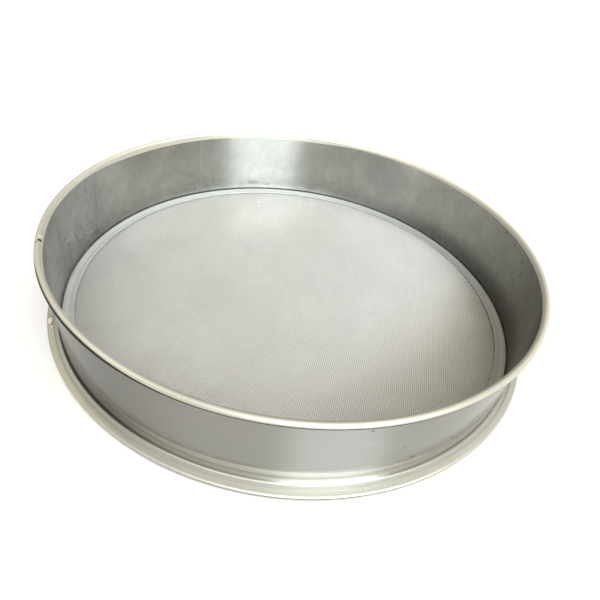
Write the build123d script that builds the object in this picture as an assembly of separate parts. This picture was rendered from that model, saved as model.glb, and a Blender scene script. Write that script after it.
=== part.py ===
"""Round test sieve: rolled sheet frame, folded base ring, wire cloth and clamp ring.

The origin is the centre of the underside, and +Z is up the sieve's axis.
All lengths are millimetres and all angles are degrees.
"""
import os
from math import acos, degrees, floor, hypot

from build123d import *

# Frame: one strip of sheet, with a curled top edge and a foot turned outwards
bore_radius = 200.0         # inside of the wall
overall_height = 71.0       # underside of the base ring to the top of the bead
frame_sheet = 0.8           # sheet thickness of the hoop
bead_diameter = 5.0         # outside of the hollow curl round the top edge
curl_gap = 0.3              # from the curl's free edge to the outside of the wall
foot_bend = 2.0             # inside radius of the bend from the wall to the flange

# Base ring: ledge under the cloth, folded up and back over the flange
ring_sheet = 0.6            # sheet thickness of the base ring
flange_reach = 10.5         # from the inside of the wall out to the edge of the fold
ledge_width = 10.0          # how far the ledge reaches in under the cloth, from the wall
lip_width = 5.2             # how far the folded lip reaches back over the flange
edge_setback = 0.5          # from the fold's centre in to the edges clamped inside it

# Wire cloth, simplified to a wall with a grid of square gaps and ridges on the bars between them
wire_diameter = 0.56        # the cloth is two wires thick
cloth_wall = 0.36           # thickness of the wall between the two sets of ridges
gap_side = 22.0             # side of a square gap, for the same open share as the fine weave's
gap_pitch = 31.5            # spacing of the gaps
gap_margin = 2.5            # least distance from a gap to the solid border
ridge_width = 1.2
ridge_step = 3.0            # spacing of the ridges on a bar
ridges_per_bar = 3
weave_angle = -7.0          # turn of the weave about the axis
ledge_overlap = 0.5         # how far the cloth's solid border reaches in past the ledge
border_lap = 1.25           # how far the wall and its ridges run into that border

# Clamp ring: a flat ring lying on the cloth over the ledge, inside the wall
clamp_sheet = 0.8
clamp_clearance = 0.8       # gap between the clamp ring and the wall

# The upright seam of the hoop, with its open notch in the bead, and the joint of the fold
seam_azimuth = -156.5
notch_width = 2.2           # open end of the notch, on the outer side of the bead
notch_start = 0.9           # from the wall's inside to the tip of the notch
notch_end = 4.4             # from the wall's inside to its open end
joint_azimuth = -155.0
joint_gap = 0.7             # slit between the two ends of the fold
lap_length = 9.0            # raised end of the lip beside the slit, tapering to nothing
lap_lift = 0.45             # how far it is raised at the slit

# Heights and radii that follow from the sizes above
wall_outside = bore_radius + frame_sheet
bead_radius = bead_diameter / 2
bead_centre = (bore_radius + bead_radius, overall_height - bead_radius)
curl_end = degrees(acos((wall_outside + curl_gap - bead_centre[0]) / bead_radius))
ledge_radius = bore_radius - ledge_width
rim_radius = bore_radius + flange_reach
cloth_thickness = 2 * wire_diameter
cloth_bottom = ring_sheet
cloth_top = cloth_bottom + cloth_thickness
flange_top = cloth_top + frame_sheet
bend_centre = (wall_outside + foot_bend, flange_top + foot_bend)
fold_thickness = flange_top + ring_sheet
fold_radius = fold_thickness / 2
fold_centre = (rim_radius - fold_radius, fold_radius)
lip_end = rim_radius - lip_width
clamped_radius = fold_centre[0] - edge_setback
border_radius = ledge_radius - ledge_overlap
mesh_radius = border_radius + border_lap


def rectangle(r_low, r_high, z_low, z_high):
    """Part of a section, from its lowest and highest radius and height."""
    middle = Pos((r_low + r_high) / 2, (z_low + z_high) / 2)
    return middle * Rectangle(r_high - r_low, z_high - z_low)


def bend(centre, inner, outer, start, sweep):
    """Bend of a section: part of a round band about a centre."""
    inside = CenterArc(centre, inner, start, sweep)
    outside = CenterArc(centre, outer, start, sweep)
    ends = [Line(inside @ 0, outside @ 0), Line(inside @ 1, outside @ 1)]
    return make_face([inside, outside, *ends])


def turned(section):
    """Solid of revolution of a section whose X is the radius and Y the height."""
    return revolve(Plane.XZ * section, Axis.Z)


def at_azimuth(azimuth, height):
    """Level plane whose X points outwards at an azimuth."""
    return Plane.XY.offset(height).rotated((0, 0, azimuth))


def make_frame():
    """Hoop with a hollow bead at its top edge and a flange turned out at its foot."""
    section = bend(bead_centre, bead_radius - frame_sheet, bead_radius, -curl_end, curl_end + 180)
    section += rectangle(bore_radius, wall_outside, bend_centre[1], bead_centre[1])
    section += bend(bend_centre, foot_bend, foot_bend + frame_sheet, 180, 90)
    section += rectangle(bend_centre[0], clamped_radius, cloth_top, flange_top)
    notch = Polygon(
        (bore_radius + notch_start, 0),
        (bore_radius + notch_end, -notch_width / 2),
        (bore_radius + notch_end, notch_width / 2),
        align=None,
    )
    notch = at_azimuth(seam_azimuth, bead_centre[1]) * notch
    return turned(section) - extrude(notch, amount=bead_diameter)


def lap_wedge():
    """The lap's lifted corner, from full height at the slit to nothing along the crease."""
    start = joint_gap / 2
    inner = Vector(lip_end, start, 0)
    outer = Vector(fold_centre[0], start, 0)
    far = Vector(fold_centre[0], start + lap_length, 0)
    low = [point + Vector(0, 0, flange_top) for point in (inner, outer, far)]
    high = [point + Vector(0, 0, fold_thickness) for point in (inner, outer, far)]
    high[1] += Vector(0, 0, lap_lift)
    corners = low + high
    sides = [(0, 2, 1), (3, 4, 5), (0, 1, 4, 3), (1, 2, 5, 4), (2, 0, 3, 5)]
    faces = [Face(Wire.make_polygon([corners[i] for i in side])) for side in sides]
    return Rot(0, 0, joint_azimuth) * Solid(Shell(faces))


def make_base_ring():
    """Flat ring under the cloth, folded up and back over the frame's flange."""
    section = rectangle(ledge_radius, fold_centre[0], 0, ring_sheet)
    section += bend(fold_centre, fold_radius - ring_sheet, fold_radius, -90, 180)
    section += rectangle(lip_end, fold_centre[0], flange_top, fold_thickness)
    ring = turned(section) + lap_wedge()
    slit = Pos(rim_radius, 0) * Rectangle(2 * (lip_width + joint_gap), joint_gap)
    slit = at_azimuth(joint_azimuth, ring_sheet) * slit
    return ring - extrude(slit, amount=fold_thickness + lap_lift)


def gap_places():
    """Centres of the cloth's gaps: a square grid, as far out as a gap clears the border."""
    reach = border_radius - gap_margin
    half = gap_side / 2
    count = floor(border_radius / gap_pitch) + 1
    steps = [(step + 0.5) * gap_pitch for step in range(-count, count)]
    return [(x, y) for x in steps for y in steps if hypot(abs(x) + half, abs(y) + half) < reach]


def ridges(turn, low, high):
    """Ridges on the bars that cross the cloth one way, between two heights."""
    bars = floor((border_radius - gap_side / 2) / gap_pitch)
    offsets = [(ridge - (ridges_per_bar - 1) / 2) * ridge_step for ridge in range(ridges_per_bar)]
    rows = [Pos(0, bar * gap_pitch + offset) for bar in range(-bars, bars + 1) for offset in offsets]
    strips = Sketch() + [row * Rectangle(2 * clamped_radius, ridge_width) for row in rows]
    strips = at_azimuth(weave_angle + turn, low) * (strips & Circle(mesh_radius))
    return extrude(strips, amount=high - low)


def make_sieve_cloth():
    """Wire cloth: gaps through the wall, with ridges one way below and the other way on top."""
    wall_low = cloth_bottom + (cloth_thickness - cloth_wall) / 2
    wall_high = wall_low + cloth_wall
    border = Circle(clamped_radius) - Circle(border_radius)
    wall = Circle(mesh_radius)
    wall -= [Pos(*place) * Rectangle(gap_side, gap_side) for place in gap_places()]
    cloth = extrude(at_azimuth(0, cloth_bottom) * border, amount=cloth_thickness)
    cloth += extrude(at_azimuth(weave_angle, wall_low) * wall, amount=cloth_wall)
    cloth += ridges(0, cloth_bottom, wall_low)
    cloth += ridges(90, wall_high, cloth_top)
    return cloth


def make_clamp_ring():
    """Flat ring that holds the cloth's edge down inside the wall."""
    ring = Circle(bore_radius - clamp_clearance) - Circle(ledge_radius)
    return extrude(at_azimuth(0, cloth_top) * ring, amount=clamp_sheet)


def main():
    """Build each piece and write it as its own STEP file."""
    os.makedirs("parts", exist_ok=True)
    pieces = {
        "frame": make_frame(),
        "base_ring": make_base_ring(),
        "sieve_cloth": make_sieve_cloth(),
        "clamp_ring": make_clamp_ring(),
    }
    for name, piece in pieces.items():
        export_step(piece, f"parts/{name}.step")


main()
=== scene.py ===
"""Round test sieve: the hoop, base ring, clamp ring and woven wire cloth, on a studio stage.

Every length in the mesh is in metres. The origin is the centre of the underside and +Z is up.
"""
import math

import bpy
from mathutils import Matrix, Vector


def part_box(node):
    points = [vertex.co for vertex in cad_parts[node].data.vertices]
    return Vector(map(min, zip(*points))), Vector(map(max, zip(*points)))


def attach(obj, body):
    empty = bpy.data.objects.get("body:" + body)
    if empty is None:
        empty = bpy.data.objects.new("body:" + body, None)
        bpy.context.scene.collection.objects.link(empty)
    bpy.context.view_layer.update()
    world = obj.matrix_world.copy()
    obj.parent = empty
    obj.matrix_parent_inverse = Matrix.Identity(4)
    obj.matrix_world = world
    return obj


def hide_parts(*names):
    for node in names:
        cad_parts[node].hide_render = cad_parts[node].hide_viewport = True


bl_info = {
    "name": "Test Sieve",
    "version": (1, 0, 0),
    "blender": (4, 5, 0),
    "location": "3D Viewport > Sidebar > Sieve",
    "description": "Builds a round test sieve with woven wire cloth round its solid model",
    "category": "Add Mesh",
}

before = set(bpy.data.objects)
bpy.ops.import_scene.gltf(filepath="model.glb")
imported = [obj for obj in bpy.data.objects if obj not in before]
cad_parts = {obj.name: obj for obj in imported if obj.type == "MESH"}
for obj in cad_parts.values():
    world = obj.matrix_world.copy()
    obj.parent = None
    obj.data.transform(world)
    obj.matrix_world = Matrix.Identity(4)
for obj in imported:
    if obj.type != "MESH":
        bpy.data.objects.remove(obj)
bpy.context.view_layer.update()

HOOP_LOW, HOOP_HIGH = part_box("frame")
RING_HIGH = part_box("base_ring")[1]
CLAMP_LOW, CLAMP_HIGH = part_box("clamp_ring")
CLOTH_LOW, CLOTH_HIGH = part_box("sieve_cloth")
MM = 0.001
IMAGE_SIDE = 600
SENSOR = 36.0
LAMP_DISTANCE = 7.0
DAYLIGHT = (0.84, 0.94, 1.0)
ROOM_LIGHT = (1.0, 0.98, 0.93)
BLACK = (0, 0, 0, 1)
WHITE = (1, 1, 1, 1)
# Dark dull coat laid on as painted shade.
PAINTED_SHADE_COLOUR = (0.035, 0.03, 0.02, 1)
# Tint of a painted warm reflection.
WARM_REFLECTION_TINT = (0.7, 0.66, 0.52, 1)
# Colours of the painted shadow on the cloth and the clamp ring at the front right.
SHADOWED_WIRE = (0.5, 0.465, 0.37, 1)
SHADOWED_RING = (0.5, 0.49, 0.41, 1)
FLOOR_RADIUS = 6.0
FLOOR_DROP = 0.2 * MM
TURN_STEPS = 360
WIRE_SIDES = 3
WIRE_GAIN = 1.12  # a wire with so few sides looks as thick as a round one at this size

# Stretches round the axis, in degrees: where each starts, is full, begins to fade and ends.
# Painted shade on the outside of the wall at the left, and painted light on the foot's lines
# there.
LEFT_SHADE_STRETCH = (-178, -160, -126, -98)
# Painted shade on the inside of the wall at the right.
RIGHT_SHADE_STRETCH = (-80, -50, -10, 12)
# Painted shade on the bead's front.
BEAD_FRONT_SHADE = (-122, -100, -65, -15)
# Painted reflection of the flange on the wall's lower band, round the front.
FOOT_REFLECTION_STRETCH = (-124, -109, -34, -24)
# Painted warm reflection on the base ring at the left.
WARM_REFLECTION_STRETCH = (-178, -160, -135, -105)


class HoopSizes(bpy.types.PropertyGroup):
    """Sizes of the hoop: wall, bead and foot."""

    bore: bpy.props.FloatProperty(
        name="Bore radius", description="Inside of the wall", default=0.2, unit="LENGTH")
    sheet: bpy.props.FloatProperty(
        name="Sheet", description="Thickness of the hoop's sheet", default=0.8 * MM, unit="LENGTH")
    bead: bpy.props.FloatProperty(
        name="Bead", description="Outside diameter of the bead", default=5.0 * MM, unit="LENGTH")
    curl_gap: bpy.props.FloatProperty(
        name="Curl gap", description="From the curl's edge to the wall", default=0.3 * MM,
        unit="LENGTH")
    foot_bend: bpy.props.FloatProperty(
        name="Foot bend", description="Inside radius of the bend to the flange",
        default=2.0 * MM, unit="LENGTH")
    flange_edge: bpy.props.FloatProperty(
        name="Flange edge", description="Radius of the flange's edge",
        default=HOOP_HIGH.x, unit="LENGTH")
    top: bpy.props.FloatProperty(
        name="Top", description="Height of the bead's top", default=HOOP_HIGH.z, unit="LENGTH")
    underside: bpy.props.FloatProperty(
        name="Underside", description="Height of the flange's underside",
        default=HOOP_LOW.z, unit="LENGTH")
    seam_azimuth: bpy.props.FloatProperty(
        name="Seam", description="Where the hoop's upright seam is",
        default=math.radians(-156.5), subtype="ANGLE")
    notch_width: bpy.props.FloatProperty(
        name="Notch width", description="Open end of the notch in the bead",
        default=2.2 * MM, unit="LENGTH")
    notch_start: bpy.props.FloatProperty(
        name="Notch start", description="From the wall's inside to the notch's tip",
        default=0.9 * MM, unit="LENGTH")
    notch_end: bpy.props.FloatProperty(
        name="Notch end", description="From the wall's inside to the notch's open end",
        default=4.4 * MM, unit="LENGTH")


class RingSizes(bpy.types.PropertyGroup):
    """Sizes of the base ring and the clamp ring."""

    sheet: bpy.props.FloatProperty(
        name="Ring sheet", description="Thickness of the base ring's sheet",
        default=0.6 * MM, unit="LENGTH")
    ledge: bpy.props.FloatProperty(
        name="Ledge radius", description="Inner edge of the ledge and of the clamp ring",
        default=0.19, unit="LENGTH")
    rim: bpy.props.FloatProperty(
        name="Rim radius", description="Outermost radius, round the fold",
        default=RING_HIGH.x, unit="LENGTH")
    lip: bpy.props.FloatProperty(
        name="Lip", description="How far the folded lip reaches back", default=5.2 * MM,
        unit="LENGTH")
    fold: bpy.props.FloatProperty(
        name="Fold", description="Thickness of the whole fold", default=3.12 * MM, unit="LENGTH")
    joint_azimuth: bpy.props.FloatProperty(
        name="Joint", description="Where the fold's two ends meet",
        default=math.radians(-155.0), subtype="ANGLE")
    joint_gap: bpy.props.FloatProperty(
        name="Joint gap", description="Slit between the fold's ends", default=0.7 * MM,
        unit="LENGTH")
    lap_length: bpy.props.FloatProperty(
        name="Lap length", description="Raised stretch beside the slit", default=9.0 * MM,
        unit="LENGTH")
    lap_lift: bpy.props.FloatProperty(
        name="Lap lift", description="How far the lip is raised at the slit",
        default=0.45 * MM, unit="LENGTH")


class ClothSizes(bpy.types.PropertyGroup):
    """Sizes of the woven wire cloth."""

    wire: bpy.props.FloatProperty(
        name="Wire", description="Wire diameter", default=0.56 * MM, unit="LENGTH")
    pitch: bpy.props.FloatProperty(
        name="Pitch", description="From one wire to the next", default=1.56 * MM, unit="LENGTH")
    reach: bpy.props.FloatProperty(
        name="Reach", description="Radius that the wires run out to", default=0.2075,
        unit="LENGTH")
    turn: bpy.props.FloatProperty(
        name="Turn", description="Turn of the weave about the axis",
        default=math.radians(-7.0), subtype="ANGLE")


class SieveColours(bpy.types.PropertyGroup):
    """Colours of the sieve's metals and of the stage."""

    hoop: bpy.props.FloatVectorProperty(
        name="Hoop", description="Polished sheet of the hoop", subtype="COLOR", size=3,
        default=(0.36, 0.358, 0.332))
    # The bead's colour, lighter than the wall's sheet it is rolled from, is partly its satin
    # finish and partly painted light.
    bead: bpy.props.FloatVectorProperty(
        name="Bead", description="Bright sheet of the bead", subtype="COLOR", size=3,
        default=(0.68, 0.66, 0.56))
    ring: bpy.props.FloatVectorProperty(
        name="Base ring", description="Satin sheet of the base ring", subtype="COLOR", size=3,
        default=(0.54, 0.53, 0.465))
    clamp: bpy.props.FloatVectorProperty(
        name="Clamp ring", description="Smooth sheet of the clamp ring", subtype="COLOR",
        size=3, default=(0.7, 0.715, 0.705))
    wire: bpy.props.FloatVectorProperty(
        name="Wire", description="Drawn steel wire", subtype="COLOR", size=3,
        default=(0.67, 0.667, 0.64))
    floor: bpy.props.FloatVectorProperty(
        name="Floor", description="Plain pale floor", subtype="COLOR", size=3,
        default=(0.8, 0.8, 0.8))


class Signal:
    """A number in a node tree: arithmetic on it adds Math nodes."""

    def __init__(self, finish, socket):
        self.finish = finish
        self.socket = socket

    def maths(self, operation, first, second=0.0):
        node = self.finish.node("ShaderNodeMath", {"operation": operation}, {0: first, 1: second})
        return Signal(self.finish, node.outputs[0])

    def __add__(self, other):
        return self.maths("ADD", self, other)

    def __radd__(self, other):
        return self.maths("ADD", other, self)

    def __sub__(self, other):
        return self.maths("SUBTRACT", self, other)

    def __rsub__(self, other):
        return self.maths("SUBTRACT", other, self)

    def __mul__(self, other):
        return self.maths("MULTIPLY", self, other)

    def __rmul__(self, other):
        return self.maths("MULTIPLY", other, self)

    def __truediv__(self, other):
        return self.maths("DIVIDE", self, other)

    def __rtruediv__(self, other):
        return self.maths("DIVIDE", other, self)

    def __abs__(self):
        return self.maths("ABSOLUTE", self)

    def root(self):
        return self.maths("SQRT", self)

    def least(self, other):
        return self.maths("MINIMUM", self, other)


class Finish:
    """A node tree, with one method that adds any node and a few that name common ones."""

    def __init__(self, tree):
        self.tree = tree

    def node(self, kind, settings=None, values=None):
        node = self.tree.nodes.new(kind)
        for name, setting in (settings or {}).items():
            setattr(node, name, setting)
        for key, value in (values or {}).items():
            self.feed(node.inputs[key], value)
        return node

    def feed(self, socket, value):
        if isinstance(value, Signal):
            self.tree.links.new(value.socket, socket)
        elif isinstance(value, bpy.types.NodeSocket):
            self.tree.links.new(value, socket)
        else:
            socket.default_value = value

    def signal(self, kind, settings, values, output=0):
        return Signal(self, self.node(kind, settings, values).outputs[output])

    def noise(self, scale, detail=3.0, roughness=0.5, distortion=0.0, seed=(0, 0, 0)):
        """Noise from 0 to 1 with features of about 1 over the scale, in metres."""
        place = self.node("ShaderNodeTexCoord").outputs["Object"]
        place = self.node("ShaderNodeMapping", None, {
            "Vector": place, "Scale": scale, "Location": seed}).outputs[0]
        return self.signal("ShaderNodeTexNoise", {"noise_dimensions": "3D"}, {
            "Vector": place, "Scale": 1.0, "Detail": detail, "Roughness": roughness,
            "Distortion": distortion})

    def lines(self, value, scale, detail=4.0, roughness=0.65):
        """Fine lines across a value, from 0 to 1."""
        return self.signal("ShaderNodeTexNoise", {"noise_dimensions": "1D"}, {
            "W": value * scale, "Scale": 1.0, "Detail": detail, "Roughness": roughness})

    def step(self, value, low, high, to_low=0.0, to_high=1.0):
        """Smooth step of a value between two limits."""
        return self.signal("ShaderNodeMapRange", {"interpolation_type": "SMOOTHSTEP"}, {
            0: value, 1: low, 2: high, 3: to_low, 4: to_high})

    def sweep(self, azimuth, start, end, to_low=0.0, to_high=1.0):
        """Smooth step of an azimuth between two angles in degrees."""
        return self.step(azimuth, math.radians(start), math.radians(end), to_low, to_high)

    def stretch(self, azimuth, limits):
        """1 along a stretch round the axis, fading to 0 at both ends."""
        start, full, fading, end = limits
        return self.sweep(azimuth, start, full) * self.sweep(azimuth, fading, end, 1.0, 0.0)

    def blend(self, factor, first, second):
        """Mix of two colours. A factor over 1 goes past the second."""
        settings = {"data_type": "RGBA", "clamp_factor": False}
        return self.node("ShaderNodeMix", settings, {0: factor, 6: first, 7: second}).outputs[2]

    def toned(self, tint, tone):
        """A colour made darker or lighter by a tone, which is 1 where it stays."""
        return self.blend(tone, BLACK, tint)

    def oval(self, across, up, wide, tall):
        """1 inside an oval with these half sizes, falling to 0 round it."""
        across, up = across / wide, up / tall
        return self.step(across * across + up * up, 0.4, 1.4, 1.0, 0.0)

    def parts(self, output):
        """X, Y and Z of a kind of texture coordinate, as signals."""
        place = self.node("ShaderNodeTexCoord").outputs[output]
        split = self.node("ShaderNodeSeparateXYZ", None, {0: place})
        return [Signal(self, split.outputs[i]) for i in range(3)]

    def place(self):
        """Azimuth in radians, radius and height in metres, as signals."""
        x, y, z = self.parts("Object")
        return x.maths("ARCTAN2", y, x), (x * x + y * y).root(), z


def colour(values):
    return (*values, 1.0)


def new_metal(name):
    material = bpy.data.materials.new(name)
    material.use_nodes = True
    shader = material.node_tree.nodes["Principled BSDF"]
    shader.inputs["Metallic"].default_value = 1.0
    return material, Finish(material.node_tree), shader


def mixed(finish, amount, first, second):
    return finish.node("ShaderNodeMixShader", None, {
        0: amount, 1: first.outputs[0], 2: second.outputs[0]})


def finish_with_painted_shade(finish, shader, amount):
    """Ends a material with a dull dark coat over its shader as painted shade, as much as the
    amount says.
    """
    shade_coat = finish.node("ShaderNodeBsdfPrincipled", None, {
        "Base Color": PAINTED_SHADE_COLOUR, "Roughness": 0.8, "Specular IOR Level": 0.15})
    surface = finish.tree.nodes["Material Output"].inputs["Surface"]
    finish.feed(surface, mixed(finish, amount, shader, shade_coat).outputs[0])


def dress(piece, material):
    piece.data.materials.clear()
    piece.data.materials.append(material)


# --- mesh helpers -------------------------------------------------------------------------


def deselect():
    bpy.ops.object.select_all(action="DESELECT")


def activate(piece):
    deselect()
    piece.select_set(True)
    bpy.context.view_layer.objects.active = piece


def choose(piece, wanted):
    """Selects just the vertices that a test on their place accepts, for edit mode."""
    data = piece.data
    for items in (data.polygons, data.edges):
        items.foreach_set("select", [False] * len(items))
    data.vertices.foreach_set("select", [wanted(vertex) for vertex in data.vertices])


def arc(centre, radius, start, end, count):
    """Points of a section along an arc, from one angle to another in degrees."""
    points = []
    for i in range(count + 1):
        angle = math.radians(start + (end - start) * i / count)
        points.append((centre[0] + radius * math.cos(angle), centre[1] + radius * math.sin(angle)))
    return points


def spun(name, section):
    """Closed ring turned about Z from a closed section of (radius, height) points."""
    deselect()
    first = Vector((section[0][0], 0, section[0][1]))
    bpy.ops.mesh.primitive_plane_add(size=MM, location=first)
    piece = bpy.context.object
    piece.name = name
    bpy.ops.object.transform_apply(location=True, rotation=True, scale=True)
    bpy.ops.object.mode_set(mode="EDIT")
    bpy.ops.mesh.select_all(action="SELECT")
    bpy.ops.mesh.merge(type="CENTER")
    for here, there in zip(section, section[1:]):
        step = (there[0] - here[0], 0, there[1] - here[1])
        bpy.ops.mesh.extrude_vertices_move(TRANSFORM_OT_translate={"value": step})
    bpy.ops.object.mode_set(mode="OBJECT")
    ends = (0, len(piece.data.vertices) - 1)
    choose(piece, lambda vertex: vertex.index in ends)
    bpy.ops.object.mode_set(mode="EDIT")
    bpy.ops.mesh.edge_face_add()
    bpy.ops.mesh.select_all(action="SELECT")
    bpy.ops.mesh.spin(steps=TURN_STEPS, angle=2 * math.pi, center=(0, 0, 0), axis=(0, 0, 1))
    bpy.ops.mesh.select_all(action="SELECT")
    bpy.ops.mesh.remove_doubles(threshold=0.001 * MM)
    bpy.ops.mesh.normals_make_consistent(inside=False)
    bpy.ops.object.mode_set(mode="OBJECT")
    return piece


def smooth(piece, degrees):
    activate(piece)
    bpy.ops.object.shade_smooth_by_angle(angle=math.radians(degrees))


def cut(piece, cutter):
    """Takes a cutter's volume out of a piece and removes the cutter."""
    activate(piece)
    modifier = piece.modifiers.new("Cut", "BOOLEAN")
    modifier.operation = "DIFFERENCE"
    modifier.solver = "EXACT"
    modifier.object = cutter
    bpy.ops.object.modifier_apply(modifier=modifier.name)
    bpy.data.objects.remove(cutter)


def belong(piece, node):
    """The piece stands for a solid and moves with the sieve."""
    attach(piece, "root")
    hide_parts(node)


class SIEVE_OT_hoop(bpy.types.Operator):
    """Turn the hoop with its bead and flange, and cut the seam's notch"""

    bl_idname = "sieve.hoop"
    bl_label = "Hoop"

    def execute(self, context):
        size = context.scene.hoop_sizes
        bore, sheet, bend = size.bore, size.sheet, size.foot_bend
        bead = size.bead / 2
        middle = (bore + bead, size.top - bead)
        outside = bore + sheet
        flange_top = size.underside + sheet
        corner = (outside + bend, flange_top + bend)
        end = math.degrees(math.acos((outside + size.curl_gap - middle[0]) / bead))
        section = arc(middle, bead, 180, -end, 40)
        section += arc(middle, bead - sheet, -end, 90, 14)
        section += [(outside, middle[1] + 0.6 * (bead - sheet))]
        section += [(outside, corner[1] + (middle[1] - corner[1]) * i / 4) for i in (4, 3, 2, 1)]
        section += arc(corner, bend, 180, 270, 10)
        section += [(size.flange_edge, flange_top), (size.flange_edge, size.underside)]
        section += arc(corner, bend + sheet, 270, 180, 10)
        section += [(bore, corner[1] + (middle[1] - corner[1]) * i / 4) for i in (1, 2, 3)]
        hoop = spun("hoop", section)
        cut(hoop, self.notch(size, middle))
        smooth(hoop, 32)
        tints = context.scene.sieve_colours
        dress(hoop, polished_sheet(tints.hoop, tints.bead, tints.ring, size))
        belong(hoop, "frame")
        return {"FINISHED"}

    def notch(self, size, middle):
        """Wedge through the top of the bead, widest at its outer side."""
        deselect()
        length = size.notch_end - size.notch_start
        tip_width = 0.15 * size.notch_width
        bpy.ops.mesh.primitive_cube_add(size=1)
        wedge = bpy.context.object
        for vertex in wedge.data.vertices:
            x, y, z = vertex.co
            wide = size.notch_width if x > 0 else tip_width
            vertex.co = (
                size.bore + size.notch_start + (x + 0.5) * length,
                y * wide,
                middle[1] + (z + 0.5) * size.bead,
            )
        wedge.rotation_euler.z = size.seam_azimuth
        bpy.ops.object.transform_apply(location=True, rotation=True, scale=True)
        return wedge


class SIEVE_OT_base_ring(bpy.types.Operator):
    """Turn the folded base ring, slit its joint and raise the lap"""

    bl_idname = "sieve.base_ring"
    bl_label = "Base Ring"

    def execute(self, context):
        size = context.scene.ring_sizes
        radius = size.fold / 2
        fold = (size.rim - radius, radius)
        lip_end = size.rim - size.lip
        round_edge = 0.15 * MM
        section = [(size.ledge, 0.1 * MM), (size.ledge + 0.1 * MM, 0)]
        section += arc(fold, radius, -90, 90, 20)
        section += [(lip_end + 0.5 * (fold[0] - lip_end), size.fold)]
        section += arc((lip_end + round_edge, size.fold - round_edge), round_edge, 90, 180, 4)
        section += [(lip_end, size.fold - size.sheet), (fold[0], size.fold - size.sheet)]
        section += arc(fold, radius - size.sheet, 90, -90, 8)[1:]
        section += [(size.ledge + 0.1 * MM, size.sheet), (size.ledge, size.sheet - 0.1 * MM)]
        ring = spun("base_ring_folded", section)
        self.raise_lap(ring, size, fold, lip_end)
        cut(ring, self.slit(size))
        smooth(ring, 35)
        dress(ring, satin_sheet(context.scene.sieve_colours.ring, size))
        belong(ring, "base_ring")
        return {"FINISHED"}

    def raise_lap(self, ring, size, fold, lip_end):
        """Lifts the lip beside the slit, less and less along the ring."""
        for vertex in ring.data.vertices:
            x, y, z = vertex.co
            along = math.remainder(math.atan2(y, x) - size.joint_azimuth, 2 * math.pi) * size.rim
            if -size.joint_gap < along < size.lap_length and z > size.fold / 2:
                fade = 1 - max(along, 0) / size.lap_length
                out = (math.hypot(x, y) - lip_end) / (fold[0] - lip_end)
                vertex.co.z += size.lap_lift * fade * min(max(out, 0), 1)

    def slit(self, size):
        """Block through the lip and the fold, as wide as the slit."""
        deselect()
        bpy.ops.mesh.primitive_cube_add(size=1)
        block = bpy.context.object
        reach = size.lip + size.joint_gap
        block.scale = (2 * reach, size.joint_gap, 2 * size.fold)
        block.location = Matrix.Rotation(size.joint_azimuth, 3, "Z") @ Vector(
            (size.rim, 0, size.sheet + size.fold))
        block.rotation_euler.z = size.joint_azimuth
        bpy.ops.object.transform_apply(location=True, rotation=True, scale=True)
        return block


class SIEVE_OT_clamp_ring(bpy.types.Operator):
    """Turn the flat clamp ring with softened edges"""

    bl_idname = "sieve.clamp_ring"
    bl_label = "Clamp Ring"

    def execute(self, context):
        inner, outer = context.scene.ring_sizes.ledge, CLAMP_HIGH.x
        low, high = CLAMP_LOW.z, CLAMP_HIGH.z
        edge = 0.25 * MM
        section = [(inner, low + edge / 2), (inner + edge / 2, low), (outer - edge / 2, low)]
        section += [(outer, low + edge / 2)]
        section += arc((outer - edge, high - edge), edge, 0, 90, 4)
        section += arc((inner + edge, high - edge), edge, 90, 180, 4)
        ring = spun("clamp_ring_flat", section)
        smooth(ring, 35)
        dress(ring, clamp_sheet(
            context.scene.sieve_colours.clamp, context.scene.ring_sizes))
        belong(ring, "clamp_ring")
        return {"FINISHED"}


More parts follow.
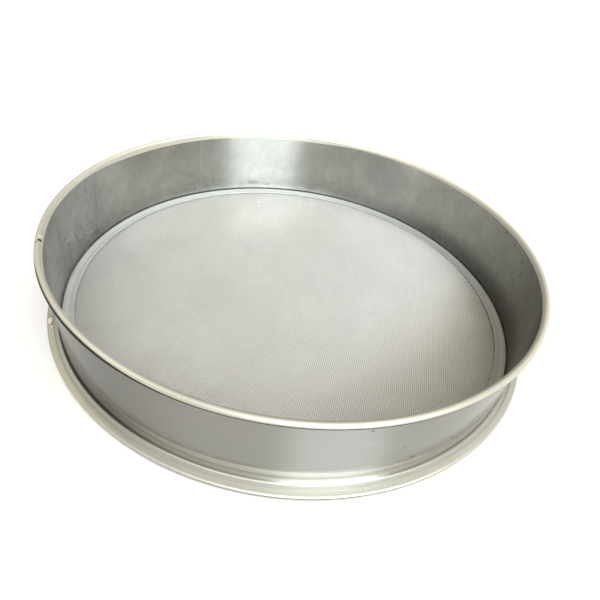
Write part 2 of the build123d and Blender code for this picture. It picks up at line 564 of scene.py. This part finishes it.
class SIEVE_OT_cloth(bpy.types.Operator):
    """Weave the cloth: one crimped wire, repeated both ways and trimmed round"""

    bl_idname = "sieve.cloth"
    bl_label = "Wire Cloth"

    def execute(self, context):
        size = context.scene.cloth_sizes
        material = drawn_wire(context.scene.sieve_colours.wire)
        for name, quarter, side in (
            ("warp_front", 0, -1), ("warp_back", 0, 1), ("weft_right", 1, -1), ("weft_left", 1, 1),
        ):
            wires = self.half(name, size, side)
            if quarter:
                wires.rotation_euler.z = math.pi / 2
                wires.location.y = size.pitch
                bpy.ops.object.transform_apply(location=True, rotation=True, scale=True)
            wires.rotation_euler.z = size.turn
            bpy.ops.object.transform_apply(location=True, rotation=True, scale=True)
            self.trim(wires, size.reach)
            bpy.ops.object.shade_smooth()
            dress(wires, material)
            belong(wires, "sieve_cloth")
        return {"FINISHED"}

    def half(self, name, size, side):
        """Square half-field of wires along X, on one side of the axis."""
        pitch = size.pitch
        level = (CLOTH_LOW.z + CLOTH_HIGH.z) / 2
        rise = size.wire / 2
        deselect()
        pairs = math.ceil(size.reach / pitch / 2) + 1
        start = -2 * pairs * pitch
        bpy.ops.mesh.primitive_circle_add(
            vertices=WIRE_SIDES, radius=WIRE_GAIN * rise, rotation=(math.pi / 2, 0, math.pi / 2),
            location=(start, 0, level + rise))
        wires = bpy.context.object
        wires.name = name
        bpy.ops.object.transform_apply(location=True, rotation=True, scale=True)
        bpy.ops.object.mode_set(mode="EDIT")
        for drop in (-2 * rise, 2 * rise):
            bpy.ops.mesh.extrude_region_move(TRANSFORM_OT_translate={"value": (pitch, 0, drop)})
        bpy.ops.object.mode_set(mode="OBJECT")
        self.repeat(wires, 2 * pairs, (2 * pitch, 0, 0), True)
        other = wires.copy()
        other.data = wires.data.copy()
        bpy.context.collection.objects.link(other)
        other.location = (pitch, pitch, 0)
        activate(wires)
        other.select_set(True)
        bpy.ops.object.join()
        self.repeat(wires, pairs, (0, 2 * pitch, 0), False)
        if side < 0:
            wires.location.y = -2 * pairs * pitch
            bpy.ops.object.transform_apply(location=True, rotation=False, scale=False)
        return wires

    def repeat(self, wires, count, step, merge):
        activate(wires)
        modifier = wires.modifiers.new("Repeat", "ARRAY")
        modifier.count = count
        modifier.use_relative_offset = False
        modifier.use_constant_offset = True
        modifier.constant_offset_displace = step
        modifier.use_merge_vertices = merge
        modifier.merge_threshold = 0.01 * MM
        bpy.ops.object.modifier_apply(modifier=modifier.name)

    def trim(self, wires, reach):
        """Removes what lies outside the reach and closes the cut ends."""
        choose(wires, lambda vertex: math.hypot(vertex.co.x, vertex.co.y) > reach)
        bpy.ops.object.mode_set(mode="EDIT")
        bpy.ops.mesh.select_mode(type="VERT")
        bpy.ops.mesh.delete(type="VERT")
        bpy.ops.mesh.select_all(action="SELECT")
        bpy.ops.mesh.fill_holes(sides=WIRE_SIDES)
        bpy.ops.mesh.select_all(action="SELECT")
        bpy.ops.mesh.normals_make_consistent(inside=False)
        bpy.ops.object.mode_set(mode="OBJECT")


# --- finishes -----------------------------------------------------------------------------


# Small dark and light marks on the wall, many of them the painted shade and painted highlights of
# dents, creases and a slit,
# with a large painted dim patch inside: azimuth in degrees, height, half width and half height in
# millimetres, and the tone they have against the sheet round them.
INSIDE_MARKS_AND_SHADING = (
    (-172.9, 35.6, 4.5, 1.1, 0.6), (-170.6, 33.0, 4.5, 1.0, 0.55), (-168.6, 29.4, 3.5, 0.9, 0.65),
    (-172.6, 32.2, 6.0, 0.9, 1.25), (-169.2, 29.6, 3.5, 0.8, 1.25), (-169.7, 38.3, 2.2, 1.1, 0.55),
    (-174.9, 26.4, 2.4, 1.0, 0.6), (-176.5, 22.6, 3.5, 0.8, 0.7), (-174.8, 30.6, 3.5, 0.9, 1.25),
    (-165.1, 61.6, 2.6, 1.3, 0.7), (-161.0, 46.0, 7.0, 1.1, 0.72), (-161.6, 49.6, 7.0, 1.4, 1.2),
    (-158.0, 53.0, 7.0, 1.0, 0.75), (-165.4, 30.6, 5.0, 1.0, 0.78), (-168.0, 40.6, 4.0, 0.9, 1.15),
    (-173.5, 9.4, 2.6, 1.6, 0.6), (-171.2, 8.6, 5.0, 1.3, 0.6), (-168.2, 20.1, 1.6, 1.6, 1.7),
    (-164.0, 22.0, 2.0, 1.4, 0.6), (-161.5, 14.0, 1.2, 1.1, 1.9), (176.4, 17.5, 2.0, 1.2, 0.62),
    (173.6, 15.6, 9.0, 1.1, 1.25), (172.0, 11.6, 9.0, 1.6, 0.78), (174.0, 33.0, 1.4, 6.0, 0.82),
    (168.0, 30.0, 2.0, 6.0, 0.88), (150.0, 36.0, 5.0, 9.0, 1.06), (132.0, 26.0, 4.0, 3.0, 0.9),
    (128.5, 45.6, 0.9, 22.0, 1.18), (124.0, 16.0, 3.0, 5.0, 0.86), (110.0, 10.7, 7.0, 2.6, 0.7),
    (105.0, 8.4, 3.5, 1.8, 0.72), (92.5, 7.9, 6.0, 0.6, 1.6), (94.1, 61.5, 1.6, 0.8, 1.4),
    (92.0, 60.5, 0.9, 0.6, 1.3), (16.4, 64.5, 1.6, 1.0, 0.5), (11.0, 62.0, 1.3, 1.1, 0.5),
    (5.1, 58.5, 1.6, 1.8, 0.45), (1.4, 59.1, 1.0, 1.0, 0.6), (15.7, 57.8, 1.0, 0.8, 0.65),
    (3.0, 50.0, 1.0, 4.0, 0.75), (7.0, 48.0, 0.9, 2.6, 1.2), (65.0, 50.0, 30.0, 26.0, 0.82),
)
OUTSIDE_MARKS_AND_SHADING = (
    (-52.6, 23.5, 1.8, 0.8, 0.12), (-54.4, 28.7, 0.8, 0.5, 0.5), (-72.8, 59.3, 1.4, 0.7, 0.35),
    (-68.1, 60.6, 0.5, 0.8, 0.3), (-64.9, 35.2, 0.6, 1.0, 0.4), (-61.9, 19.7, 2.2, 1.4, 0.55),
    (-71.9, 45.8, 2.2, 0.9, 1.12), (-70.7, 45.3, 1.6, 0.7, 1.14), (-74.0, 47.6, 2.4, 0.6, 1.08),
    (-108.0, 19.6, 3.5, 0.35, 1.5), (-103.5, 18.8, 6.0, 0.3, 1.5), (-99.0, 18.0, 3.0, 0.3, 1.4),
)


def marked(finish, tone, marks, azimuth, height, bore):
    """A tone with small marks laid over it."""
    for turn, level, wide, tall, strength in marks:
        along = (azimuth - math.radians(turn)) * bore
        spot = finish.oval(along, height - level * MM, wide * MM, tall * MM)
        tone = tone * (1 + spot * (strength - 1))
    return tone


def shadowed_front_right(finish):
    """Where the wall's painted shadow falls on the cloth and its ring, towards the front right: 0
    to 1.
    """
    x, y, z = finish.parts("Object")
    return finish.step(x * 0.85 - y * 0.53, 0.07, 0.19)


class HoopPlace:
    """Where a point lies on the hoop, and its zones, each a mask from 0 to 1."""

    def __init__(self, finish, size):
        bore, sheet, bead = size.bore, size.sheet, size.bead / 2
        self.azimuth, self.radius, self.height = finish.place()
        self.turn = abs(self.azimuth)
        self.across = self.radius - (bore + bead)
        self.up = self.height - (size.top - bead)
        self.seam = (self.azimuth - size.seam_azimuth) * bore
        self.inside = finish.step(self.radius, bore + 0.2 * sheet, bore + 0.6 * sheet, 1.0, 0.0)
        self.outside = finish.step(self.radius, bore + 1.2 * sheet, bore + 1.6 * sheet)
        # Where the wall's left side gets painted shade and its foot gets painted light.
        self.left_shade = finish.stretch(self.azimuth, LEFT_SHADE_STRETCH)
        # The bead's light colour reaches down the inside of the wall as a painted highlight,
        # furthest at the back.
        bead_highlight_reach = finish.sweep(self.turn, 70, 95, 0.85, -0.25)
        bead_highlight_reach = bead_highlight_reach + finish.sweep(self.turn, 150, 172, 0.0, 0.9)
        level = self.up - self.inside * bead_highlight_reach * bead
        self.rolled = finish.step(level, -1.5 * bead, -1.2 * bead)
        self.foot = finish.step(self.radius, bore + 1.5 * MM, bore + 3 * MM) * (1 - self.rolled)
        self.bead_top = finish.step(self.across, -0.6 * MM, 0.3 * MM, 1.0, 0.0) * self.rolled


def inside_tone(finish, at, size, stain, drops):
    """Water marks, painted shade at the foot with a tide line, painted shade on a stretch at the
    right, and creases near the seam drawn as painted shade.
    """
    folds = finish.noise((45, 45, 16), 2, 0.5, 1.4, (7, 2, 4))
    # Painted shade towards the foot of the wall, deepest at the right.
    foot = finish.sweep(at.turn, 0, 105, 0.3, 0.86)
    # Painted shade over the creased stretch near the seam, darker along the crease lines.
    creased_shade = finish.sweep(at.turn, 158, 171)
    crease_shade = 1 - finish.step(abs(folds - 0.5), 0.003, 0.02)
    tide = 1 - finish.step(at.height + (drops - 0.5) * 14 * MM, 8.5 * MM, 10.5 * MM)
    tide = tide * finish.sweep(at.turn, 95, 115)
    tone = 1.02 + stain * 0.14 + (drops - 0.5) * 0.18
    tone = tone * finish.step(at.height, 6 * MM, 34 * MM, foot, 1.0)
    # Painted shade on the stretch at the right.
    tone = tone * (1 - finish.stretch(at.azimuth, RIGHT_SHADE_STRETCH) * 0.4)
    tone = tone * (1 - creased_shade * (0.26 + crease_shade * 0.22)) * (1 - tide * 0.14)
    return marked(finish, tone, INSIDE_MARKS_AND_SHADING, at.azimuth, at.height, size.bore)


def outside_tone(finish, at, size, clouds, painted_light_band):
    """Smoother sheet with painted shade at the left and a painted reflection of the flange along
    its foot, with the upright seam.
    """
    # The outer wall is darkened at the left as painted shade.
    tone = (0.82 + (clouds - 0.5) * 0.06) * (0.92 - at.left_shade * 0.36)
    # The painted reflection of the flange lightens the band low on the wall.
    tone = tone * (1 + painted_light_band * 0.55)
    tone = tone * (1 - finish.oval(at.seam, at.height * 0.0, 0.5 * MM, 1.0) * 0.45)
    return marked(finish, tone, OUTSIDE_MARKS_AND_SHADING, at.azimuth, at.height, size.bore)


def bead_tone(finish, at):
    """Even, with painted shade on its front and painted highlights beside the notch."""
    # Painted highlights on the bead's top beside the notch.
    knock_highlight = finish.oval(at.seam + 7.0 * MM, at.up - 1.4 * MM, 2.2 * MM, 1.4 * MM)
    knock_highlight = knock_highlight + finish.oval(at.seam, at.up - 1.2 * MM, 0.9 * MM, 1.3 * MM)
    # Painted shade: the bead's front is darkened.
    painted_light_band = finish.stretch(at.azimuth, BEAD_FRONT_SHADE)
    return (1.08 - painted_light_band * 0.38) * (1 + knock_highlight * at.bead_top * 0.35)


def bead_shade(finish, at, size):
    """Painted shade under the curl, in its hollow, on the wall below it and in the notch."""
    bead, sheet = size.bead / 2, size.sheet
    from_middle = (at.across * at.across + at.up * at.up).root()
    # The painted shade under the curl reaches higher at the left.
    rise = finish.sweep(at.azimuth, -128, -96, 0.9, 0.15)
    rise = rise * finish.sweep(at.azimuth, -166, -144) * bead
    under = finish.step(at.up - rise, -0.3 * bead, 0.0, 1.0, 0.0) * at.outside
    below = finish.step(at.up, -1.75 * bead, -1.2 * bead) * (1 - at.outside) * (1 - at.inside)
    below = below * finish.step(at.up, -0.9 * bead, -0.7 * bead, 0.7, 0.0)
    hollow = finish.step(from_middle, bead - 0.9 * sheet, bead - 0.6 * sheet, 1.0, 0.0)
    # Painted shade in the notch's hollow.
    notch = finish.oval(at.seam + 2.0 * MM, at.up - 1.5 * MM, 1.6 * MM, 1.4 * MM) * at.bead_top
    return ((under + below + hollow) * at.rolled + notch).least(1.0)


def polished_sheet(base, bead_lit_tint, rolled, size):
    """Polished sheet with a satin bead and foot: a sharp and a streaked reflection, mixed."""
    material, finish, shader = new_metal("polished_steel")
    at = HoopPlace(finish, size)
    clouds = finish.noise((30, 30, 42), 5, 0.55, 0.8)
    drops = finish.noise((110, 110, 70), 4, 0.6, 1.0, (3, 1, 2))
    stain = finish.step(clouds, 0.38, 0.66)
    # Painted reflection of the flange: a lighter band low on the outside of the wall.
    painted_light_band = finish.step(at.height, 15.6 * MM, 16.8 * MM, 1.0, 0.0)
    painted_light_band = painted_light_band * finish.stretch(at.azimuth, FOOT_REFLECTION_STRETCH)
    # The foot's fine lines are lightened at the left as painted light.
    rings = (0.84 + (finish.lines(at.radius, 1500) - 0.5) * 0.7) * (1 + at.left_shade * 0.3)
    tone = inside_tone(finish, at, size, stain, drops) * at.inside
    tone = tone + outside_tone(finish, at, size, clouds, painted_light_band) * (1 - at.inside)
    tone = tone * (1 - at.foot) + rings * at.foot
    tone = tone * (1 - at.rolled) + bead_tone(finish, at) * at.rolled
    # The bead's lighter colour is partly painted light.
    tint = finish.blend(at.rolled, colour(base), colour(bead_lit_tint))
    tint = finish.toned(finish.blend(at.foot, tint, colour(rolled)), tone)
    finish.feed(shader.inputs["Base Color"], tint)
    rough = 0.13 + stain * at.inside * 0.06 + at.rolled * 0.35 + at.foot * 0.22
    finish.feed(shader.inputs["Roughness"], rough)
    finish.feed(shader.inputs["Metallic"], 1 - (at.rolled + at.foot) * 0.4)
    streaked = finish.node("ShaderNodeBsdfPrincipled", None, {
        "Base Color": tint, "Metallic": 1.0, "Roughness": 0.31,
        "Anisotropic": 1.0, "Anisotropic Rotation": 0.25})
    share = 0.55 + (drops - 0.5) * at.inside * 0.2 - painted_light_band * (1 - at.inside) * 0.15
    share = share * (1 - at.rolled * 0.85) * (1 - at.foot * 0.7)
    both = mixed(finish, share, shader, streaked)
    finish_with_painted_shade(finish, both, bead_shade(finish, at, size))
    return material


def satin_sheet(base, size):
    """Satin sheet with fine lines round the ring, painted shade on its lower edge, and a painted
    highlight and painted shade at the lap.
    """
    material, finish, shader = new_metal("rolled_steel")
    azimuth, radius, height = finish.place()
    clouds = finish.noise((60, 60, 60), 4, 0.55, 0.4)
    tone = 0.94 + (clouds - 0.5) * 0.12 + (finish.lines(radius, 1500) - 0.5) * 0.6
    along = (azimuth - size.joint_azimuth) * size.rim
    across = radius - (size.rim - size.lip)
    top = finish.step(height, 0.8 * size.fold, 0.95 * size.fold)
    # Painted highlight and painted shade of the crumpled lip beside the slit.
    bright = finish.oval(along - 4.5 * MM, across - 2.0 * MM - along * 0.1, 3.6 * MM, 1.9 * MM)
    bright = bright + finish.oval(along - 11.5 * MM, across - 1.6 * MM, 1.0 * MM, 0.9 * MM)
    dark = finish.oval(along - 6.5 * MM, across - 0.4 * MM - along * 0.12, 4.6 * MM, 0.7 * MM)
    tone = tone * (1 + top * (bright * 0.6 - dark * 0.5))
    # A painted warm reflection tints the ring at the left.
    tint = finish.blend(finish.stretch(azimuth, WARM_REFLECTION_STRETCH), colour(base), WARM_REFLECTION_TINT)
    finish.feed(shader.inputs["Base Color"], finish.toned(tint, tone))
    finish.feed(shader.inputs["Roughness"], 0.35 + clouds * 0.12)
    finish.feed(shader.inputs["Metallic"], 0.6)
    # Painted shade on the fold's lower, downward-facing half.
    shaded_lower_edge = finish.step(height, 0.42 * size.fold, 0.7 * size.fold, 0.8, 0.0)
    finish_with_painted_shade(finish, shader, shaded_lower_edge)
    return material


def clamp_sheet(base, size):
    """Smooth sheet, duller along its inner half, with painted light at its inner edge."""
    material, finish, shader = new_metal("clamp_steel")
    radius = finish.place()[1]
    clouds = finish.noise((60, 60, 60), 4, 0.55, 0.4)
    tone = 0.94 + (clouds - 0.5) * 0.12 + (finish.lines(radius, 1800) - 0.5) * 0.1
    tone = tone * finish.step(radius, size.ledge + 3.6 * MM, size.ledge + 4.8 * MM, 0.8, 1.0)
    # Painted light that lifts the shade on the inner edge.
    tone = tone * finish.step(radius, size.ledge + 0.1 * MM, size.ledge + 0.4 * MM, 1.25, 1.0)
    # Painted shadow at the front right.
    tint = finish.blend(shadowed_front_right(finish), colour(base), SHADOWED_RING)
    finish.feed(shader.inputs["Base Color"], finish.toned(tint, tone))
    finish.feed(shader.inputs["Roughness"], 0.58 + clouds * 0.1)
    finish.feed(shader.inputs["Metallic"], 0.55)
    return material


def drawn_wire(base):
    """Drawn wire, slightly uneven in tone across the cloth, with a painted shadow at the front
    right.
    """
    material, finish, shader = new_metal("wire_cloth")
    clouds = finish.noise((22, 22, 22), 4, 0.6, 0.6)
    drops = finish.noise((160, 14, 60), 3, 0.6, 0.3, (1, 5, 2))
    tone = 0.96 + (clouds - 0.5) * 0.2 + (drops - 0.5) * 0.1
    # Painted shadow at the front right.
    tint = finish.blend(shadowed_front_right(finish), colour(base), SHADOWED_WIRE)
    finish.feed(shader.inputs["Base Color"], finish.toned(tint, tone))
    finish.feed(shader.inputs["Roughness"], 0.3 + clouds * 0.1)
    return material


# --- stage --------------------------------------------------------------------------------


def direction(azimuth, elevation):
    """Unit vector towards an azimuth and an elevation, in degrees."""
    azimuth, elevation = math.radians(azimuth), math.radians(elevation)
    level = math.cos(elevation)
    return Vector((level * math.cos(azimuth), level * math.sin(azimuth), math.sin(elevation)))


class SIEVE_OT_stage(bpy.types.Operator):
    """Set the floor, the lamps, the sky and the camera"""

    bl_idname = "sieve.stage"
    bl_label = "Stage"

    def execute(self, context):
        scene = context.scene
        self.floor(scene.sieve_colours.floor)
        self.sky(scene)
        window = self.softbox(
            "window", azimuth=-62, elevation=29, width=34, height=32, glow=22.0, tint=DAYLIGHT)
        window.visible_diffuse = False
        self.softbox(
            "ceiling", azimuth=-90, elevation=79, width=96, height=104, glow=1.05,
            tint=ROOM_LIGHT)
        self.camera(scene)
        scene.view_settings.view_transform = "Standard"
        return {"FINISHED"}

    def floor(self, tint):
        deselect()
        bpy.ops.mesh.primitive_circle_add(
            vertices=96, radius=FLOOR_RADIUS, fill_type="NGON", location=(0, 0, -FLOOR_DROP))
        floor = bpy.context.object
        floor.name = "floor"
        bpy.ops.object.transform_apply(location=True, rotation=True, scale=True)
        material = bpy.data.materials.new("floor")
        material.use_nodes = True
        finish = Finish(material.node_tree)
        shader = material.node_tree.nodes["Principled BSDF"]
        shader.inputs["Roughness"].default_value = 0.9
        shader.inputs["Specular IOR Level"].default_value = 0.0
        path = finish.node("ShaderNodeLightPath")
        camera, glossy, through = (
            Signal(finish, path.outputs[f"Is {ray} Ray"])
            for ray in ("Camera", "Glossy", "Transmission"))
        seen = (camera + glossy + through).least(1.0)
        finish.feed(shader.inputs["Base Color"], finish.blend(seen, colour(tint), WHITE))
        dress(floor, material)

    def sky(self, scene):
        """Plain studio: dim at the left, lighter at the right and overhead."""
        world = bpy.data.worlds.new("studio")
        scene.world = world
        world.use_nodes = True
        finish = Finish(world.node_tree)
        x, y, z = finish.parts("Generated")
        patch, side = direction(-80, 64), direction(-25, 10)
        overhead = finish.step(patch.x * x + patch.y * y + patch.z * z, 0.6, 1.0, 0.0, 0.8)
        around = finish.step(side.x * x + side.y * y + side.z * z, -0.3, 1.0, 0.15, 0.9)
        background = world.node_tree.nodes["Background"]
        background.inputs["Color"].default_value = colour(ROOM_LIGHT)
        finish.feed(background.inputs["Strength"], overhead + around)

    def softbox(self, name, azimuth, elevation, width, height, glow, tint):
        """Rectangular lamp, its place and spread in degrees and its brightness like the sky's."""
        outwards = direction(azimuth, elevation)
        data = bpy.data.lights.new(name, "AREA")
        data.shape = "RECTANGLE"
        data.size = 2 * LAMP_DISTANCE * math.tan(math.radians(width / 2))
        data.size_y = 2 * LAMP_DISTANCE * math.tan(math.radians(height / 2))
        data.energy = glow * math.pi * data.size * data.size_y
        data.color = tint
        lamp = bpy.data.objects.new(name, data)
        lamp.location = LAMP_DISTANCE * outwards
        lamp.rotation_euler = outwards.to_track_quat("Z", "Y").to_euler()
        bpy.context.scene.collection.objects.link(lamp)
        return lamp

    def camera(self, scene):
        focal, elevation, roll = 471.68, math.radians(42.838), math.radians(8.990)
        distance, across, upward = 447.06 * MM, 2.640 * MM, 39.570 * MM
        centre_x, centre_y = 288.65, 332.44
        ahead = Vector((0, math.cos(elevation), -math.sin(elevation)))
        right = Vector((1, 0, 0))
        above = right.cross(ahead)
        right_rolled = math.cos(roll) * right + math.sin(roll) * above
        above_rolled = -math.sin(roll) * right + math.cos(roll) * above
        place = -distance * ahead - across * right_rolled - upward * above_rolled
        data = bpy.data.cameras.new("camera")
        data.sensor_width = SENSOR
        data.lens = focal / IMAGE_SIDE * SENSOR
        data.shift_x = (IMAGE_SIDE / 2 - centre_x) / IMAGE_SIDE
        data.shift_y = (centre_y - IMAGE_SIDE / 2) / IMAGE_SIDE
        data.clip_start = 0.01
        camera = bpy.data.objects.new("camera", data)
        axes = Matrix((right_rolled, above_rolled, -ahead)).transposed()
        camera.matrix_world = Matrix.Translation(place) @ axes.to_4x4()
        scene.collection.objects.link(camera)
        scene.camera = camera


class SIEVE_PT_panel(bpy.types.Panel):
    """Steps that build the sieve"""

    bl_label = "Test Sieve"
    bl_space_type = "VIEW_3D"
    bl_region_type = "UI"
    bl_category = "Sieve"

    def draw(self, context):
        layout = self.layout
        scene = context.scene
        for group in (scene.hoop_sizes, scene.ring_sizes, scene.cloth_sizes, scene.sieve_colours):
            box = layout.box()
            for name in group.__annotations__:
                box.prop(group, name)
        for step in STEPS:
            layout.operator(step.bl_idname)


GROUPS = {
    "hoop_sizes": HoopSizes,
    "ring_sizes": RingSizes,
    "cloth_sizes": ClothSizes,
    "sieve_colours": SieveColours,
}
STEPS = (SIEVE_OT_stage, SIEVE_OT_hoop, SIEVE_OT_base_ring, SIEVE_OT_clamp_ring, SIEVE_OT_cloth)
CLASSES = (*GROUPS.values(), *STEPS, SIEVE_PT_panel)


def register():
    for kind in CLASSES:
        bpy.utils.register_class(kind)
    for name, group in GROUPS.items():
        setattr(bpy.types.Scene, name, bpy.props.PointerProperty(type=group))


def unregister():
    for name in GROUPS:
        delattr(bpy.types.Scene, name)
    for kind in reversed(CLASSES):
        bpy.utils.unregister_class(kind)


def main():
    """Build the stage and every piece."""
    register()
    for step in STEPS:
        section, name = step.bl_idname.split(".")
        getattr(getattr(bpy.ops, section), name)()


if __name__ == "__main__":
    main()
